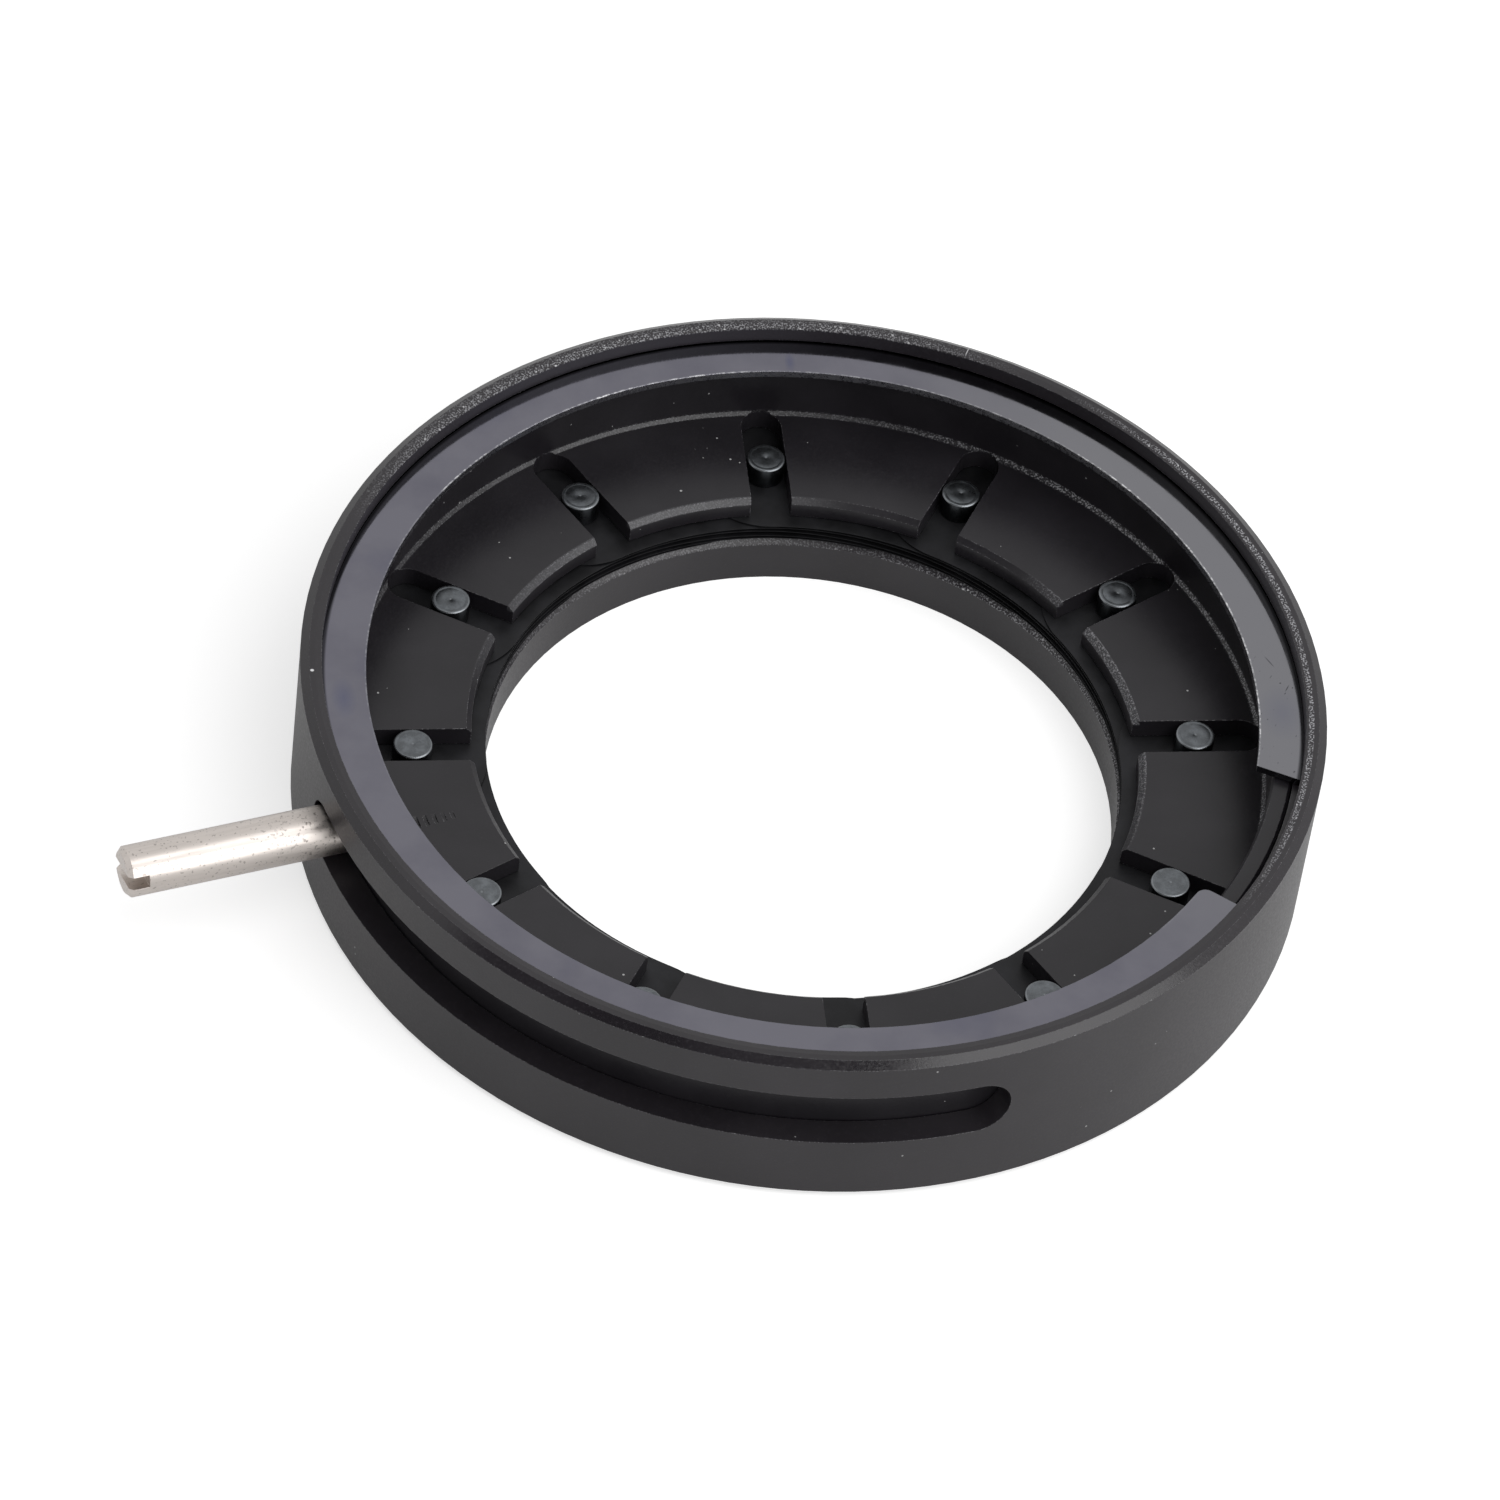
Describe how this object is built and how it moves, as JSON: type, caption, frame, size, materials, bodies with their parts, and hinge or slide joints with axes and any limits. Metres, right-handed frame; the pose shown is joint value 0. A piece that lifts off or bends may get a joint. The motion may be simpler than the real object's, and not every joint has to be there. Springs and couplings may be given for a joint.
{
  "type": "iris diaphragm",
  "caption": "Lever-operated iris diaphragm: thin curved blades in a flat round housing turn together under a slotted drive ring to open or close a round aperture.",
  "frame": {"origin": "centre of the light opening, in the plane of the housing's base face", "axes": "+Z along the light axis from the base towards the retaining ring; +X through the first drive pin with the iris fully open"},
  "size_m": [0.0918, 0.0776, 0.0146],
  "materials": {
    "housing_black": "fine blasted and black anodised",
    "ring_black": "fine turned and black anodised",
    "clip_steel": "satin spring steel, lightly blued",
    "lever_steel": "drawn stainless rod, satin",
    "pin_steel": "turned steel, matte",
    "blade_steel": "blackened spring steel"
  },
  "bodies": {
    "housing": {"housing": "housing_black", "retaining_ring": "clip_steel"},
    "drive_ring": {"drive_ring": "ring_black", "lever": "lever_steel"},
    "blade_01": {"blade_01": "blade_steel", "pivot_pin_01": "pin_steel", "drive_pin_01": "pin_steel"},
    "blade_02": {"blade_02": "blade_steel", "pivot_pin_02": "pin_steel", "drive_pin_02": "pin_steel"},
    "blade_03": {"blade_03": "blade_steel", "pivot_pin_03": "pin_steel", "drive_pin_03": "pin_steel"},
    "blade_04": {"blade_04": "blade_steel", "pivot_pin_04": "pin_steel", "drive_pin_04": "pin_steel"},
    "blade_05": {"blade_05": "blade_steel", "pivot_pin_05": "pin_steel", "drive_pin_05": "pin_steel"},
    "blade_06": {"blade_06": "blade_steel", "pivot_pin_06": "pin_steel", "drive_pin_06": "pin_steel"},
    "blade_07": {"blade_07": "blade_steel", "pivot_pin_07": "pin_steel", "drive_pin_07": "pin_steel"},
    "blade_08": {"blade_08": "blade_steel", "pivot_pin_08": "pin_steel", "drive_pin_08": "pin_steel"},
    "blade_09": {"blade_09": "blade_steel", "pivot_pin_09": "pin_steel", "drive_pin_09": "pin_steel"},
    "blade_10": {"blade_10": "blade_steel", "pivot_pin_10": "pin_steel", "drive_pin_10": "pin_steel"},
    "blade_11": {"blade_11": "blade_steel", "pivot_pin_11": "pin_steel", "drive_pin_11": "pin_steel"},
    "blade_12": {"blade_12": "blade_steel", "pivot_pin_12": "pin_steel", "drive_pin_12": "pin_steel"}
  },
  "joints": [
    {"name": "drive_ring_turn", "type": "hinge", "parent": "housing", "child": "drive_ring", "pos_m": [0, 0, 0], "axis": [0, 0, 1], "range_deg": [0, 86]},
    {"name": "blade_01_turn", "type": "hinge", "parent": "housing", "child": "blade_01", "pos_m": [-0.02194, -0.02046, 0], "axis": [0, 0, 1], "range_deg": [0, 43]},
    {"name": "blade_02_turn", "type": "hinge", "parent": "housing", "child": "blade_02", "pos_m": [-0.00877, -0.02869, 0], "axis": [0, 0, 1], "range_deg": [0, 43]},
    {"name": "blade_03_turn", "type": "hinge", "parent": "housing", "child": "blade_03", "pos_m": [0.00675, -0.02923, 0], "axis": [0, 0, 1], "range_deg": [0, 43]},
    {"name": "blade_04_turn", "type": "hinge", "parent": "housing", "child": "blade_04", "pos_m": [0.02046, -0.02194, 0], "axis": [0, 0, 1], "range_deg": [0, 43]},
    {"name": "blade_05_turn", "type": "hinge", "parent": "housing", "child": "blade_05", "pos_m": [0.02869, -0.00877, 0], "axis": [0, 0, 1], "range_deg": [0, 43]},
    {"name": "blade_06_turn", "type": "hinge", "parent": "housing", "child": "blade_06", "pos_m": [0.02923, 0.00675, 0], "axis": [0, 0, 1], "range_deg": [0, 43]},
    {"name": "blade_07_turn", "type": "hinge", "parent": "housing", "child": "blade_07", "pos_m": [0.02194, 0.02046, 0], "axis": [0, 0, 1], "range_deg": [0, 43]},
    {"name": "blade_08_turn", "type": "hinge", "parent": "housing", "child": "blade_08", "pos_m": [0.00877, 0.02869, 0], "axis": [0, 0, 1], "range_deg": [0, 43]},
    {"name": "blade_09_turn", "type": "hinge", "parent": "housing", "child": "blade_09", "pos_m": [-0.00675, 0.02923, 0], "axis": [0, 0, 1], "range_deg": [0, 43]},
    {"name": "blade_10_turn", "type": "hinge", "parent": "housing", "child": "blade_10", "pos_m": [-0.02046, 0.02194, 0], "axis": [0, 0, 1], "range_deg": [0, 43]},
    {"name": "blade_11_turn", "type": "hinge", "parent": "housing", "child": "blade_11", "pos_m": [-0.02869, 0.00877, 0], "axis": [0, 0, 1], "range_deg": [0, 43]},
    {"name": "blade_12_turn", "type": "hinge", "parent": "housing", "child": "blade_12", "pos_m": [-0.02923, -0.00675, 0], "axis": [0, 0, 1], "range_deg": [0, 43]}
  ],
  "couplings": [
    {"joint": "blade_01_turn", "follows": "drive_ring_turn", "ratio": 0.5},
    {"joint": "blade_02_turn", "follows": "drive_ring_turn", "ratio": 0.5},
    {"joint": "blade_03_turn", "follows": "drive_ring_turn", "ratio": 0.5},
    {"joint": "blade_04_turn", "follows": "drive_ring_turn", "ratio": 0.5},
    {"joint": "blade_05_turn", "follows": "drive_ring_turn", "ratio": 0.5},
    {"joint": "blade_06_turn", "follows": "drive_ring_turn", "ratio": 0.5},
    {"joint": "blade_07_turn", "follows": "drive_ring_turn", "ratio": 0.5},
    {"joint": "blade_08_turn", "follows": "drive_ring_turn", "ratio": 0.5},
    {"joint": "blade_09_turn", "follows": "drive_ring_turn", "ratio": 0.5},
    {"joint": "blade_10_turn", "follows": "drive_ring_turn", "ratio": 0.5},
    {"joint": "blade_11_turn", "follows": "drive_ring_turn", "ratio": 0.5},
    {"joint": "blade_12_turn", "follows": "drive_ring_turn", "ratio": 0.5}
  ]
}
